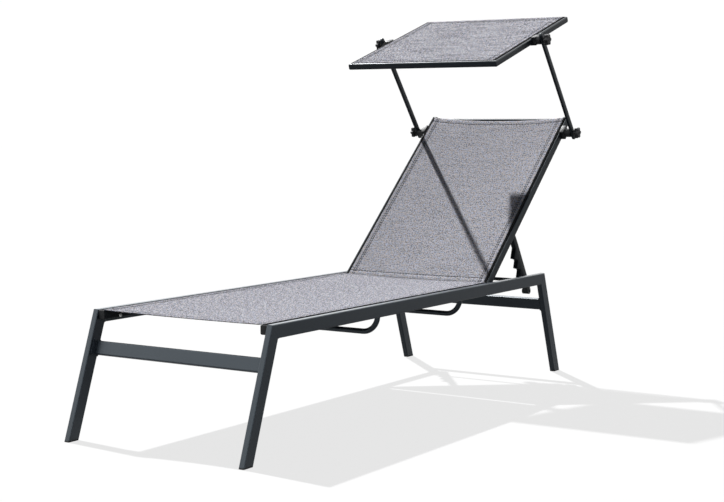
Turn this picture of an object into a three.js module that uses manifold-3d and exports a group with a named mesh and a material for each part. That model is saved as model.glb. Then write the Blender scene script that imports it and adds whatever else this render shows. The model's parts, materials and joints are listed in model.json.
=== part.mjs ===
// Sun lounger with an adjustable canopy: a powder-coated aluminium frame with splayed legs, sling fabric
// held in extruded rails, a backrest propped by two toothed racks on a cross rod, and a framed canopy
// carried by two swinging arms with hand-tightened star knobs.
// Millimetres. X runs across the width, Y from the foot end to the head end, Z up.
// Every right-hand piece is drawn at +X and its left-hand twin is mirrored.

import * as THREE from 'three';
import { mergeVertices } from 'three/addons/utils/BufferGeometryUtils.js';
import Module from 'manifold-3d';

const wasm = await Module();
wasm.setup();

// Frame: overall length and width between the outer faces, height of the seat, and the box section tube
const frameLength = 1580;
const frameWidth = 618;
const seatHeight = 354;
const legSplay = 125;
const tubeDepth = 38;
const tubeWidth = 18;
const tubeWall = 1.8;
const tubeCorner = 3;
const cornerFillet = 11;
const soleThickness = 4;
const footInsert = 26;

// Crossbars between the legs: one section, its drop below the seat at each end, and their collar plates
const crossbarFrontDrop = 97;
const crossbarRearDrop = 99;
const crossbarDepth = 15;
const crossbarRise = 40;
const crossbarCorner = 4;
const crossbarInset = 22;
const collarDepth = 30;
const collarRise = 48;
const collarThickness = 3;

// Spreader tubes bent down under the seat: the front one's place, and how far the rear one is from the pivot
const spreaderFrontPlace = 548;
const spreaderFromPivot = 199;
const spreaderRadius = 8;
const spreaderWall = 1.5;
const spreaderDrop = 86;
const spreaderBend = 50;
const spreaderInset = 9;

// Sling rails: one extrusion with a keyhole slot for the edge of the fabric, in a seat and a canopy depth
const profileWidth = 21;
const profileDepth = 26;
const profileCorner = 4;
const profileWall = 1.6;
const slotInset = 6.5;
const slotWidth = 3.8;
const slotDepth = 3.2;
const chamberRadius = 3.9;
const splineRadius = 3.3;
const seatRailStart = 3;
const seatRailFromPivot = 17;
const plugThickness = 2;
const plugInsert = 9;

// Fabric: its thickness, and for each sling how far it sags and how far its free hems draw in
const clothThickness = 1.6;
const clothMargin = 4;
const seatSag = 9;
const seatHemSag = 5;
const seatHemDip = 22;
const backrestSag = 9;
const backrestHemSag = 2;
const backrestHemDip = 12;
const backrestHemStart = -2;
const backrestSplineStart = 17;
const canopySag = 5;

// Backrest: angle above level, its pivot in from the head end, the length beyond it and its cross tubes
const backrestAngle = 42.3;
const pivotFromHead = 349;
const backrestLength = 801;
const backrestSideGap = 13;
const crossTubeRadius = 8;
const crossTubeWall = 1.5;
const topTubeInset = 8.5;
const topTubeRise = 2.5;
const bottomTubeReach = 27;
const bottomTubeDrop = 3;

// Toothed racks: their slope, the pivot on the backrest, and the outline of shank, teeth and hub
const rackSlope = 58.5;
const rackPivotReach = 268;
const rackPivotDrop = 2;
const rackThickness = 16;
const rackHeadRadius = 10;
const rackShank = 8;
const rackSpine = 13.3;
const rackSpineStart = 80;
const rackFirstTooth = 106;
const rackPitch = 40;
const rackNotches = 3;
const rackRoot = 13;
const rackToothDepth = 22;
const rackTipRadius = 2.5;
const rackHubReach = 268;
const rackHubRadius = 10.5;
const rackHubStep = 8;
const rackHubWall = 2;
const rackHubRecess = 2;

// Cross rod that the racks hook on to, with an end plate on each side rail
const restRodRadius = 6;
const restPlateLength = 46;
const restPlateRise = 25;
const restPlateThickness = 3;

// Canopy: two arms, the angle of each at rest, the frame, how far in it is, and the place of its pivot
const clampFromTop = 65;
const clampDrop = 2;
const armLength = 398;
const armAngle = 128;
const armWidth = 20;
const armThickness = 8;
const armBevel = 1;
const armOverhang = 16.5;
const armClearance = 2;
const canopyTilt = 17.9;
const canopyLength = 558;
const canopyInset = 23.5;
const canopyPivot = 287;
const canopyTube = 21;
const canopyCorner = 4.5;

// Clamps that grip a rail from outside, their studs and the star knobs
const clampLength = 34;
const clampBase = 12;
const clampLip = 3.5;
const clampCorner = 1.5;
const clampUpperJaw = 4.2;
const clampLowerJaw = 17;
const clampBossRadius = 15;
const studRadius = 4;
const studDepth = 9;
const knobRadius = 20;
const knobLobes = 6;
const knobLobeDepth = 5;
const knobThickness = 13;
const knobBevel = 2;
const knobHubRadius = 9.5;
const knobHubLength = 7.5;

// Pivot bolts and bushes
const boltHeadThickness = 4.2;
const pivotBoltRadius = 4;
const pivotBoltHead = 7.4;
const propBoltRadius = 3;
const propBoltHead = 7;
const propBoltReach = 9;
const bushWall = 2;
const bushFlange = 4;
const flangeThickness = 1.2;
const boltEndInset = 9;

// Clearances: pieces that seat on each other, pieces that turn, and the overrun of every cut
const seam = 0.3;
const turningGap = 0.4;
const overrun = 60;

// Facets: steps round a rounded corner, and sides of a round bar
const cornerSteps = 3;
const roundSides = 20;
const splineSides = 12;
const hexSides = 6;

const looks = {
  frame: { color: 0x3b4145, roughness: 0.5, metalness: 0.45 },
  canopyFrame: { color: 0x2a3035, roughness: 0.5, metalness: 0.4 },
  plastic: { color: 0x15171a, roughness: 0.6, metalness: 0 },
  rack: { color: 0x24282b, roughness: 0.55, metalness: 0.1 },
  nylon: { color: 0x8e9193, roughness: 0.6, metalness: 0 },
  steel: { color: 0xb4b6b6, roughness: 0.35, metalness: 0.9 },
  seatCloth: { color: 0x9d9da1, roughness: 0.9, metalness: 0 },
  backrestCloth: { color: 0xa6a4a4, roughness: 0.9, metalness: 0 },
  canopyCloth: { color: 0x9a99a2, roughness: 0.9, metalness: 0 },
  spline: { color: 0x2b2d30, roughness: 0.7, metalness: 0 },
};

const quarter = Math.PI / 2;
const radians = THREE.MathUtils.degToRad;

// Solids: a closed mesh goes in, is joined or cut as a solid, and comes back as a mesh
const solid = (geometry) => {
  const bare = geometry.clone();
  bare.deleteAttribute('normal');
  bare.deleteAttribute('uv');
  const welded = mergeVertices(bare);
  return new wasm.Manifold(new wasm.Mesh({
    numProp: 3,
    vertProperties: welded.attributes.position.array,
    triVerts: Uint32Array.from(welded.index.array),
  }));
};

const meshed = (body) => {
  const mesh = body.getMesh();
  const geometry = new THREE.BufferGeometry();
  geometry.setAttribute('position', new THREE.Float32BufferAttribute(mesh.vertProperties, 3));
  geometry.setIndex(Array.from(mesh.triVerts));
  return geometry;
};

const joined = (bodies) => bodies.reduce((all, body) => all.add(body));
const without = (body, ...cuts) => cuts.reduce((rest, cut) => rest.subtract(cut), body);

const piece = (name, body, look) => {
  const mesh = new THREE.Mesh(meshed(body), new THREE.MeshStandardMaterial(look));
  mesh.name = name;
  return mesh;
};

// Twins: the left-hand one is mirrored across the width, the rear one along the frame
const mirrored = (body) => body.mirror([1, 0, 0]);
const bothSides = (body) => body.add(mirrored(body));
const turnedAbout = (y, body) => body.mirror([0, 1, 0]).translate([0, y + y, 0]);
const pairOf = (name, body, look) => [
  piece(`${name}_left`, mirrored(body), look),
  piece(`${name}_right`, body, look),
];

// Outlines: an arc, and a polygon whose corners are rounded
const arc = (x, y, radius, from, to, steps) => Array.from({ length: steps + 1 }, (_, i) => {
  const angle = from + ((to - from) * i) / steps;
  return new THREE.Vector2(x + radius * Math.cos(angle), y + radius * Math.sin(angle));
});

const circle = (radius, sides = roundSides, x = 0, y = 0) => (
  arc(x, y, radius, 0, 4 * quarter, sides).slice(1)
);

const roundedCorner = (before, corner, after, radius) => {
  const back = before.clone().sub(corner).normalize();
  const ahead = after.clone().sub(corner).normalize();
  const half = Math.acos(back.dot(ahead)) / 2;
  const centre = back.clone().add(ahead).setLength(radius / Math.sin(half)).add(corner);
  const start = back.setLength(radius / Math.tan(half)).add(corner).sub(centre);
  const end = ahead.setLength(radius / Math.tan(half)).add(corner).sub(centre);
  const turn = Math.atan2(start.cross(end), start.dot(end));
  return arc(centre.x, centre.y, radius, start.angle(), start.angle() + turn, cornerSteps);
};

// Each corner is [x, y] or [x, y, radius]; the common radius serves those that name none
const polygon = (corners, commonRadius = 0) => {
  const points = corners.map(([x, y]) => new THREE.Vector2(x, y));
  return corners.flatMap(([, , ownRadius], i) => {
    const radius = ownRadius ?? commonRadius;
    const after = points[(i + 1) % points.length];
    return radius ? roundedCorner(points.at(i - 1), points[i], after, radius) : [points[i]];
  });
};

const rectangle = (width, height, corner, x = 0, y = 0) => polygon([
  [x + width / 2, y - height / 2],
  [x + width / 2, y + height / 2],
  [x - width / 2, y + height / 2],
  [x - width / 2, y - height / 2],
], corner);

const shapeOf = (outline, ...holes) => {
  const shape = new THREE.Shape(outline);
  shape.holes = holes.map((hole) => new THREE.Path(hole));
  return shape;
};

const tubeSection = (width, height, corner, wall) => shapeOf(
  rectangle(width, height, corner),
  rectangle(width - 2 * wall, height - 2 * wall, corner - wall / 2),
);

// Extrusions: a section in X and Z run along Y, and an outline in Y and Z given a width along X
const placed = (shape, depth, x, y, z, at, bevel = 0) => solid(
  new THREE.ExtrudeGeometry(shape, {
    depth: depth - 2 * bevel,
    bevelEnabled: bevel > 0,
    bevelThickness: bevel,
    bevelSize: bevel,
    bevelOffset: -bevel,
    bevelSegments: 1,
  }).translate(0, 0, bevel).applyMatrix4(new THREE.Matrix4()
    .makeBasis(new THREE.Vector3(...x), new THREE.Vector3(...y), new THREE.Vector3(...z))
    .setPosition(...at)),
);

const alongY = (shape, from, to, x = 0, z = 0) => placed(
  shape, to - from, [1, 0, 0], [0, 0, 1], [0, -1, 0], [x, to, z],
);

const alongX = (shape, from, to, y = 0, z = 0, bevel = 0) => placed(
  shape, to - from, [0, 1, 0], [0, 0, 1], [1, 0, 0], [from, y, z], bevel,
);

const bar = (radius, from, to, y = 0, z = 0, sides = roundSides) => (
  alongX(shapeOf(circle(radius, sides)), from, to, y, z)
);

const pipe = (radius, wall, from, to, y = 0, z = 0) => (
  alongX(shapeOf(circle(radius), circle(radius - wall)), from, to, y, z)
);

// Cutting blocks that take away everything beyond an upright, level or sloping plane
const cutSize = 2 * (frameLength + frameWidth);
const beyond = (turn, x, y, z) => {
  const block = new THREE.BoxGeometry(cutSize, cutSize, cutSize).translate(0, cutSize / 2, 0);
  return solid(turn(block).translate(x, y, z));
};
const beyondSlope = (y, z, angle) => beyond((block) => block.rotateX(angle), 0, y, z);
const beyondMitre = (x, y, angle) => beyond((block) => block.rotateZ(angle), x, y, 0);
const above = (z) => beyondSlope(0, z, quarter);
const below = (z) => beyondSlope(0, z, -quarter);

// A sheet of even thickness from a grid of points on its upper face and one on its lower face
const sheet = (upper, lower) => {
  const rows = upper.length;
  const columns = upper[0].length;
  const points = [...upper.flat(), ...lower.flat()];
  const at = (row, column, under) => under * rows * columns + row * columns + column;
  const triangles = [];
  const quad = (a, b, c, d) => triangles.push(a, b, c, a, c, d);
  for (let row = 0; row < rows - 1; row += 1) {
    for (let column = 0; column < columns - 1; column += 1) {
      quad(at(row, column, 0), at(row, column + 1, 0), at(row + 1, column + 1, 0), at(row + 1, column, 0));
      quad(at(row + 1, column, 1), at(row + 1, column + 1, 1), at(row, column + 1, 1), at(row, column, 1));
    }
  }
  const lastRow = rows - 1;
  const lastColumn = columns - 1;
  for (let column = 0; column < lastColumn; column += 1) {
    quad(at(0, column, 1), at(0, column + 1, 1), at(0, column + 1, 0), at(0, column, 0));
    quad(
      at(lastRow, column, 0), at(lastRow, column + 1, 0),
      at(lastRow, column + 1, 1), at(lastRow, column, 1),
    );
  }
  for (let row = 0; row < lastRow; row += 1) {
    quad(at(row, 0, 0), at(row + 1, 0, 0), at(row + 1, 0, 1), at(row, 0, 1));
    quad(
      at(row, lastColumn, 1), at(row + 1, lastColumn, 1),
      at(row + 1, lastColumn, 0), at(row, lastColumn, 0),
    );
  }
  const geometry = new THREE.BufferGeometry().setFromPoints(points);
  geometry.setIndex(triangles);
  return solid(geometry);
};

// Places along the frame and up the backrest that follow from its ends
const backrestPivot = frameLength - pivotFromHead;
const seatRailEnd = backrestPivot - seatRailFromPivot;
const clampReach = backrestLength - clampFromTop;

// Side frames: on each side a rail and two legs of one box section, mitred where they meet
const railOuterX = frameWidth / 2;
const railInnerX = railOuterX - tubeWidth;
const railX = railOuterX - tubeWidth / 2;
const railZ = seatHeight - tubeDepth / 2;
const legLean = Math.atan2(legSplay, seatHeight);
const legLength = Math.hypot(legSplay, seatHeight);
const mitreTilt = (quarter - legLean) / 2;
const frameSection = tubeSection(tubeWidth, tubeDepth, tubeCorner, tubeWall);

// The mitre runs from the outer top corner inwards, halfway between rail and leg
const mitreY = (Math.cos(mitreTilt) * seam) / 2;
const mitreZ = (Math.sin(mitreTilt) * seam) / 2;
const legSideOfMitre = beyondSlope(mitreY, seatHeight + mitreZ, mitreTilt + 2 * quarter);
const railSideOfMitre = beyondSlope(-mitreY, seatHeight - mitreZ, mitreTilt);

// Pieces of a leg lie along its lean, measured down from the outer top corner
const legDown = [0, -Math.sin(legLean), -Math.cos(legLean)];
const legBack = [0, Math.cos(legLean), -Math.sin(legLean)];
const alongLeg = (shape, from, to) => placed(
  shape, to - from, [-1, 0, 0], legBack, legDown,
  [railX, from * legDown[1] + (tubeDepth / 2) * legBack[1], seatHeight + from * legDown[2]
    + (tubeDepth / 2) * legBack[2]],
);

// The inner corner is filled by a concave fillet, half of it on each tube
const innerCornerY = tubeDepth * Math.tan(mitreTilt);
const innerCornerZ = seatHeight - tubeDepth;
const filletReach = cornerFillet * Math.tan(mitreTilt);
const filletDown = new THREE.Vector2(-Math.sin(legLean), -Math.cos(legLean)).multiplyScalar(filletReach);
const filletOutline = () => {
  const corner = new THREE.Vector2(innerCornerY, innerCornerZ);
  const onRail = corner.clone().add(new THREE.Vector2(filletReach, 0));
  const onLeg = corner.clone().add(filletDown);
  const hollow = roundedCorner(onRail, corner, onLeg, cornerFillet);
  return shapeOf([
    ...hollow,
    onLeg.clone().add(new THREE.Vector2(-tubeWall, 0)),
    corner.clone().add(new THREE.Vector2(-tubeWall, tubeWall)),
    onRail.clone().add(new THREE.Vector2(0, tubeWall)),
  ]);
};
const fillet = alongX(filletOutline(), railInnerX + tubeCorner, railOuterX - tubeCorner);

const railTube = without(
  alongY(frameSection, 0, frameLength, railX, railZ).add(fillet).add(turnedAbout(frameLength / 2, fillet)),
  legSideOfMitre,
  turnedAbout(frameLength / 2, legSideOfMitre),
);

const legTube = without(
  alongLeg(frameSection, -overrun, legLength + overrun).add(fillet),
  railSideOfMitre,
  below(soleThickness),
);

// Foot: a sole the size of the tube with a plug up inside it
const plugFit = tubeWall + seam;
const foot = without(
  joined([
    without(alongLeg(shapeOf(rectangle(tubeWidth, tubeDepth, tubeCorner)), 0, legLength + overrun),
      above(soleThickness - seam)),
    alongLeg(
      shapeOf(rectangle(tubeWidth - 2 * plugFit, tubeDepth - 2 * plugFit, tubeCorner - tubeWall / 2)),
      legLength - footInsert, legLength + overrun,
    ),
  ]),
  below(0),
);

// Crossbars stand at the slant of the legs, each end welded to a collar plate against the leg
const acrossLeg = (shape, from, to, height) => placed(
  shape, to - from, legBack, [0, -legDown[1], -legDown[2]], [1, 0, 0],
  [from, (height - seatHeight) * Math.tan(legLean), height],
);
const crossbarEnd = railInnerX - seam;
const crossbarCentre = crossbarInset + crossbarDepth / 2;
const crossbarHollow = rectangle(
  crossbarDepth - 2 * tubeWall, crossbarRise - 2 * tubeWall, crossbarCorner - tubeWall / 2, crossbarCentre,
);
const crossbarSection = shapeOf(
  rectangle(crossbarDepth, crossbarRise, crossbarCorner, crossbarCentre),
  crossbarHollow,
);
const collarCentre = crossbarInset + crossbarDepth - collarDepth / 2;
const crossbar = (height) => joined([
  acrossLeg(crossbarSection, -crossbarEnd, crossbarEnd, height),
  bothSides(acrossLeg(
    shapeOf(rectangle(collarDepth, collarRise, crossbarCorner, collarCentre), crossbarHollow),
    crossbarEnd - collarThickness, crossbarEnd, height,
  )),
]);

// Sling extrusion: the keyhole slot opens upwards near the outer edge, beside an L-shaped hollow
const slotFromCentre = profileWidth / 2 - slotInset;
const slingSection = (depth, corner) => {
  const side = profileWidth / 2;
  const top = depth / 2;
  const mouth = slotWidth / 2;
  const mouthAngle = Math.acos(mouth / chamberRadius);
  const chamberCentre = top - slotDepth - chamberRadius;
  const mouthFloor = chamberCentre + chamberRadius * Math.sin(mouthAngle);
  const ledge = chamberCentre - chamberRadius - profileWall;
  const post = slotFromCentre - chamberRadius - profileWall;
  const inner = side - profileWall;
  const floor = top - profileWall;
  const [lowerRight, upperRight, upperLeft, lowerLeft] = [
    [side, -top, corner], [side, top, corner], [-side, top, corner], [-side, -top, corner],
  ];
  const outline = polygon([lowerRight, upperRight, upperLeft, lowerLeft]);
  const upperRightEnd = 2 * (cornerSteps + 1);
  const keyhole = [
    new THREE.Vector2(slotFromCentre + mouth, top),
    new THREE.Vector2(slotFromCentre + mouth, mouthFloor),
    ...arc(
      slotFromCentre, chamberCentre, chamberRadius, mouthAngle, -mouthAngle - 2 * quarter, 4 * cornerSteps,
    ).slice(1, -1),
    new THREE.Vector2(slotFromCentre - mouth, mouthFloor),
    new THREE.Vector2(slotFromCentre - mouth, top),
  ];
  outline.splice(upperRightEnd, 0, ...keyhole);
  const hollowCorner = corner - profileWall;
  return shapeOf(outline, polygon([
    [-inner, -floor, hollowCorner],
    [inner, -floor, hollowCorner],
    [inner, ledge],
    [post, ledge],
    [post, floor],
    [-inner, floor, hollowCorner],
  ]));
};
const seatSection = slingSection(profileDepth, profileCorner);
const canopySection = slingSection(canopyTube, canopyCorner);
const clothLift = seam + clothThickness;
const lipDepth = slotDepth + chamberRadius - splineRadius - seam;

// Seat rails sit against the side rails, low enough for the fabric to finish level with their tops
const seatRailX = railInnerX - seam - profileWidth / 2;
const seatRailTop = seatHeight - clothLift;
const seatRailZ = seatRailTop - profileDepth / 2;
const seatRailInnerX = seatRailX - profileWidth / 2;
const seatRail = alongY(seatSection, seatRailStart, seatRailEnd, seatRailX, seatRailZ);

// End plug: a cover plate with a tongue in the lower hollow, its plate on the foot side of y
const tongueRise = profileDepth - slotDepth - 2 * chamberRadius - 3 * profileWall - 2 * seam;
const tongueWidth = profileWidth - 2 * profileWall - 2 * seam;
const tongueZ = profileWall + seam + tongueRise / 2 - profileDepth / 2;
const railPlug = (x, y, z) => joined([
  alongY(
    shapeOf(rectangle(profileWidth, profileDepth, profileCorner)),
    y - seam - plugThickness, y - seam, x, z,
  ),
  alongY(
    shapeOf(rectangle(tongueWidth, tongueRise, profileCorner - profileWall)),
    y - seam - plugThickness / 2, y + plugInsert, x, z + tongueZ,
  ),
]);
const seatFrontPlug = railPlug(seatRailX, seatRailStart, seatRailZ);
const seatRearPlug = turnedAbout((seatRailStart + seatRailEnd) / 2, seatFrontPlug);

// Spline rods lie in the chambers, with the edge of the fabric turned down on to them
const chamberDrop = slotDepth + chamberRadius;
const splineRod = (from, to, x, z) => alongY(shapeOf(circle(splineRadius, splineSides)), from, to, x, z);
const seatSlotX = seatRailX + slotFromCentre;
const seatSpline = splineRod(
  seatRailStart + clothMargin, seatRailEnd - clothMargin, seatSlotX, seatRailTop - chamberDrop,
);

// Where across a sling its columns of points lie, and where along it its rows do
const columnShares = [-1, -0.84, -0.64, -0.4, -0.14, 0.14, 0.4, 0.64, 0.84, 1];
const rowShares = [0, 0.04, 0.1, 0.2, 0.32, 0.44, 0.56, 0.68, 0.8, 0.9, 0.96, 1];

// A sling between two rails: flat on them, hanging between them, free at its two hems
const slingBetween = ({ slotX, edgeX, from, to, top, sag, hemSag, dipStart, dipEnd }) => {
  const outerX = slotX + clothThickness / 2;
  const innerX = slotX - clothThickness / 2;
  const lip = top - clothLift - lipDepth;
  const grid = (edge, thickness) => rowShares.map((along) => {
    const point = (x, z) => {
      const bow = 1 - (x / outerX) ** 2;
      const start = from + dipStart * bow;
      return new THREE.Vector3(x, start + along * (to - dipEnd * bow - start), z);
    };
    const depth = hemSag + (sag - hemSag) * Math.sin(2 * quarter * along);
    return [
      point(-edge, lip),
      point(-edge, top - thickness),
      ...columnShares.map((share) => point(share * edgeX, top - thickness - depth * (1 - share ** 2))),
      point(edge, top - thickness),
      point(edge, lip),
    ];
  });
  return sheet(grid(outerX, 0), grid(innerX, clothThickness));
};
const seatSling = slingBetween({
  slotX: seatSlotX,
  edgeX: seatRailInnerX,
  from: seatRailStart,
  to: seatRailEnd - clothMargin / 2,
  top: seatHeight,
  sag: seatSag,
  hemSag: seatHemSag,
  dipStart: seatHemDip,
  dipEnd: 0,
});

// Spreader: a tube bent up at both ends to meet the underside of the seat rails
const spreaderX = railInnerX - spreaderInset;
const spreaderTop = seatRailTop - profileDepth - seam;
const spreaderHeight = seatHeight - spreaderDrop;
const bendTop = spreaderHeight + spreaderBend;
const bendInner = spreaderX - spreaderBend;
const roundingShare = 0.552;
const spreaderSides = 12;
const spreaderSteps = 36;
const spreader = (y) => {
  const at = (x, z) => new THREE.Vector3(x, y, z);
  const pull = spreaderBend * (1 - roundingShare);
  const path = new THREE.CurvePath();
  path.add(new THREE.LineCurve3(at(-spreaderX, spreaderTop), at(-spreaderX, bendTop)));
  path.add(new THREE.CubicBezierCurve3(
    at(-spreaderX, bendTop), at(-spreaderX, spreaderHeight + pull),
    at(pull - spreaderX, spreaderHeight), at(-bendInner, spreaderHeight),
  ));
  path.add(new THREE.LineCurve3(at(-bendInner, spreaderHeight), at(bendInner, spreaderHeight)));
  path.add(new THREE.CubicBezierCurve3(
    at(bendInner, spreaderHeight), at(spreaderX - pull, spreaderHeight),
    at(spreaderX, spreaderHeight + pull), at(spreaderX, bendTop),
  ));
  path.add(new THREE.LineCurve3(at(spreaderX, bendTop), at(spreaderX, spreaderTop)));
  const section = shapeOf(
    circle(spreaderRadius, spreaderSides),
    circle(spreaderRadius - spreaderWall, spreaderSides),
  );
  return solid(new THREE.ExtrudeGeometry(section, { extrudePath: path, steps: spreaderSteps }));
};

// Backrest, drawn in its own frame: Y runs up its rails from the pivot, Z out of its front face
const hingeZ = seatRailZ;
const backrestOuterX = railInnerX - backrestSideGap;
const backrestRailX = backrestOuterX - profileWidth / 2;
const backrestInnerX = backrestOuterX - profileWidth;
const backrestSlotX = backrestRailX + slotFromCentre;
const backrestTop = profileDepth / 2;
const pivotHoleRadius = pivotBoltRadius + turningGap;
const propHoleRadius = propBoltRadius + seam;
const roundFoot = shapeOf([
  ...arc(0, 0, backrestTop, quarter, 3 * quarter, 3 * cornerSteps),
  new THREE.Vector2(backrestLength, -backrestTop),
  new THREE.Vector2(backrestLength, backrestTop),
]);
const backrestRail = without(
  alongY(seatSection, -backrestTop, backrestLength, backrestRailX)
    .intersect(alongX(roundFoot, backrestInnerX - overrun, backrestOuterX + overrun)),
  bar(pivotHoleRadius, backrestInnerX - overrun, backrestOuterX + overrun),
  bar(propHoleRadius, backrestInnerX - overrun, backrestRailX, rackPivotReach, -rackPivotDrop),
);
const crossTube = (reach, height) => {
  const end = backrestInnerX - seam;
  return pipe(crossTubeRadius, crossTubeWall, -end, end, reach, height);
};
const backrestPlug = turnedAbout(backrestLength / 2, railPlug(backrestRailX, 0, 0));
const backrestSpline = splineRod(
  backrestSplineStart, backrestLength - clothMargin, backrestSlotX, backrestTop - chamberDrop,
);
const backrestSling = slingBetween({
  slotX: backrestSlotX,
  edgeX: backrestInnerX,
  from: backrestHemStart,
  to: backrestLength - clothMargin / 2,
  top: backrestTop + clothLift,
  sag: backrestSag,
  hemSag: backrestHemSag,
  dipStart: 0,
  dipEnd: backrestHemDip,
});

// Bolt with a hexagon head against the inner face at x, and its shank running outwards to its tip
const bolt = (x, y, z, headRadius, shankRadius, tip) => joined([
  bar(headRadius, x - seam - boltHeadThickness, x - seam, y, z, hexSides),
  bar(shankRadius, x - seam - boltHeadThickness / 2, tip, y, z),
]);

// Pivot bolts pass through the backrest rails and spacer bushes into the side rails
const pivotBolt = bolt(
  backrestInnerX, backrestPivot, hingeZ, pivotBoltHead, pivotBoltRadius, railOuterX - boltEndInset,
);
const pivotBush = pipe(
  pivotBoltRadius + seam + bushFlange, bushFlange, backrestOuterX + turningGap, railInnerX - seam,
  backrestPivot, hingeZ,
);

// Toothed rack, in its own frame: Y runs down it from its pivot, and the teeth point to -Z
const rackOuterX = backrestInnerX - 2 * seam - flangeThickness;
const rackInnerX = rackOuterX - rackThickness;
const rackTip = rackRoot + rackToothDepth;
const halfPitch = rackPitch / 2;
const flankHalfAngle = Math.atan2(halfPitch, rackToothDepth);
const rodSeatRadius = restRodRadius + seam;
const shankEnd = rackFirstTooth - ((rackTip - rackShank) * halfPitch) / rackToothDepth;
const lastTip = rackFirstTooth + rackPitch * rackNotches;
const rackOutline = () => {
  const teeth = Array.from({ length: rackNotches }, (_, i) => {
    const tip = rackFirstTooth + rackPitch * i;
    return [[tip, -rackTip, rackTipRadius], [tip + halfPitch, -rackRoot, rodSeatRadius]];
  }).flat();
  const headBack = arc(0, 0, rackHeadRadius, quarter, 3 * quarter, 2 * cornerSteps).map(({ x, y }) => [x, y]);
  return polygon([
    ...headBack,
    [rackHeadRadius, -rackHeadRadius],
    [2 * rackHeadRadius, -rackShank],
    [shankEnd, -rackShank],
    ...teeth,
    [lastTip, -rackTip, rackTipRadius],
    [lastTip + halfPitch, -rackRoot],
    [rackHubReach, -rackHubRadius],
    [rackHubReach, rackHubRadius],
    [lastTip + halfPitch, rackSpine],
    [rackSpineStart, rackSpine],
    [rackHeadRadius, rackHeadRadius],
  ]);
};
const bushOuterRadius = propHoleRadius + bushWall;
const rack = without(
  joined([
    alongX(shapeOf(rackOutline()), rackInnerX, rackOuterX),
    bar(rackHubRadius, rackInnerX - rackHubStep, rackOuterX, rackHubReach),
  ]),
  bar(bushOuterRadius + seam, rackInnerX - overrun, rackOuterX + overrun),
  bar(rackHubRadius - rackHubWall, rackOuterX - rackHubRecess, rackOuterX + overrun, rackHubReach),
);

// Flanged bush in the head of the rack, and the bolt that it turns on
const rackBush = without(
  joined([
    bar(bushOuterRadius, rackInnerX, rackOuterX + seam + flangeThickness),
    bar(bushOuterRadius + bushFlange, rackOuterX + seam, rackOuterX + seam + flangeThickness),
  ]),
  bar(propHoleRadius, rackInnerX - overrun, rackOuterX + overrun),
);
const propBolt = bolt(
  rackInnerX, rackPivotReach, -rackPivotDrop, propBoltHead, propBoltRadius, backrestInnerX + propBoltReach,
);

// The rod lies in the last notch: its place on the frame follows from the racks
const fromAngle = (along, out, angle) => new THREE.Vector2(along, out)
  .rotateAround(new THREE.Vector2(), radians(angle));
const rackPivotPlace = fromAngle(rackPivotReach, -rackPivotDrop, backrestAngle);
const rodInRack = fromAngle(
  lastTip - halfPitch, -rackRoot - rodSeatRadius / Math.sin(flankHalfAngle), -rackSlope,
);
const rodY = backrestPivot + rackPivotPlace.x + rodInRack.x;
const rodZ = hingeZ + rackPivotPlace.y + rodInRack.y;
const restPlateInnerX = railInnerX - seam - restPlateThickness;
const restPlate = alongX(
  shapeOf(rectangle(restPlateLength, restPlateRise, tubeCorner)),
  restPlateInnerX, railInnerX - seam, rodY, rodZ,
);
const restRod = joined([
  bar(restRodRadius, -restPlateInnerX, restPlateInnerX, rodY, rodZ),
  bothSides(restPlate),
]);

// Each side rail takes the pivot bolt through its inner wall
const sideRail = without(railTube, bar(pivotHoleRadius, railInnerX - overrun, railX, backrestPivot, hingeZ));

// Canopy arms, in their own frame: Y runs from the lower pivot to the upper one
const armInnerX = railOuterX + armClearance;
const armOuterX = armInnerX + armThickness;
const studHoleRadius = studRadius + turningGap;
const armEnd = armLength + armOverhang;
const armOutline = shapeOf([
  ...arc(armEnd, 0, armWidth / 2, -quarter, quarter, 2 * cornerSteps),
  ...arc(-armOverhang, 0, armWidth / 2, quarter, 3 * quarter, 2 * cornerSteps),
]);
const arm = without(
  alongX(armOutline, armInnerX, armOuterX, 0, 0, armBevel),
  bar(studHoleRadius, armInnerX - overrun, armOuterX + overrun),
  bar(studHoleRadius, armInnerX - overrun, armOuterX + overrun, armLength),
);

// Clamp: a jaw round the outer half of a rail, with a boss out to the arm and a blind bore for the stud
const clamp = (outerX, halfDepth, y, z) => {
  const face = outerX + seam;
  const base = face + clampBase;
  const grip = halfDepth + seam;
  const lip = grip + clampLip;
  const jaws = shapeOf(polygon([
    [face, -grip],
    [face - clampLowerJaw, -grip],
    [face - clampLowerJaw, -lip, clampCorner],
    [base, -lip, clampCorner],
    [base, lip, clampCorner],
    [face - clampUpperJaw, lip, clampCorner],
    [face - clampUpperJaw, grip],
    [face, grip],
  ]));
  return without(
    joined([
      alongY(jaws, y - clampLength / 2, y + clampLength / 2),
      bar(clampBossRadius, base - clampBase / 2, armInnerX - turningGap, y, z),
    ]),
    bar(studHoleRadius, base - studDepth, armInnerX, y, z),
  );
};
const lowerClamp = clamp(backrestOuterX, backrestTop, clampReach, -clampDrop);
const canopyOuterX = railOuterX - canopyInset;
const upperClamp = clamp(canopyOuterX, canopyTube / 2, 0, 0);

// Star knob moulded round the head of its stud, which reaches through the arm into the clamp
const knobInnerX = armOuterX + turningGap;
const knobHeadX = knobInnerX + knobHubLength;
const knobOuterX = knobHeadX + knobThickness;
const knobPoints = 8;
const starOutline = Array.from({ length: knobLobes * knobPoints }, (_, i) => {
  const angle = (4 * quarter * i) / (knobLobes * knobPoints);
  const radius = knobRadius - (knobLobeDepth * (1 - Math.cos(knobLobes * angle))) / 2;
  return new THREE.Vector2(radius * Math.cos(angle), radius * Math.sin(angle));
});
const knob = (outerX, y) => joined([
  alongX(shapeOf(starOutline), knobHeadX, knobOuterX, y, 0, knobBevel),
  bar(knobHubRadius, knobInnerX, knobHeadX + knobThickness / 2, y),
  bar(studRadius, outerX + 2 * seam + clampBase - studDepth, knobHeadX, y),
]);

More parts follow.
